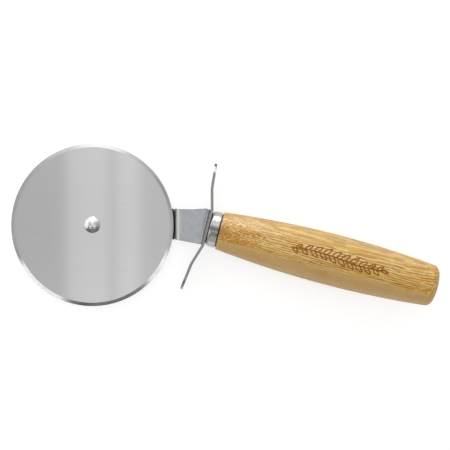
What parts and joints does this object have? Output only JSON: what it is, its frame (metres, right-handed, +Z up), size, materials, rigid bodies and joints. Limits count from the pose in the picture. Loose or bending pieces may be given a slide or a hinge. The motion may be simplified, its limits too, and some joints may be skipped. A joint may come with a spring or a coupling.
{
  "type": "pizza cutter",
  "caption": "Hand-held pizza cutter: a bevelled steel wheel riveted to a joggled neck, with a bent finger guard, a ferrule and a turned bamboo handle.",
  "frame": {"origin": "middle of the cutter's outline, on the table that it lies on", "axes": "+X towards the handle's free end, +Y to the side that the wheel is set away from, +Z up from the table, with the rivet's domed head uppermost"},
  "size_m": [0.238, 0.0952, 0.0327],
  "materials": {
    "wheel_steel": "ground stainless steel, brushed in one direction",
    "bright_rivet": "polished stainless steel",
    "washer_steel": "plain stainless steel washer",
    "neck_steel": "fine matt stainless steel sheet",
    "guard_steel": "satin stainless steel strip",
    "ferrule_steel": "polished stainless steel",
    "tang_steel": "plain steel rod",
    "bamboo": "turned bamboo with a satin lacquer"
  },
  "bodies": {
    "handle": {"axle_rivet": "bright_rivet", "spacer_washer": "washer_steel", "tail_washer": "washer_steel", "neck_arm": "neck_steel", "finger_guard": "guard_steel", "ferrule": "ferrule_steel", "handle_tang": "tang_steel", "bamboo_handle": "bamboo"},
    "wheel": {"cutting_wheel": "wheel_steel"}
  },
  "joints": [
    {"name": "wheel_spin", "type": "hinge", "parent": "handle", "child": "wheel", "pos_m": [-0.07419, -0.0026, 0.00461], "axis": [-0.0876, 0, 0.9962], "continuous": true}
  ]
}
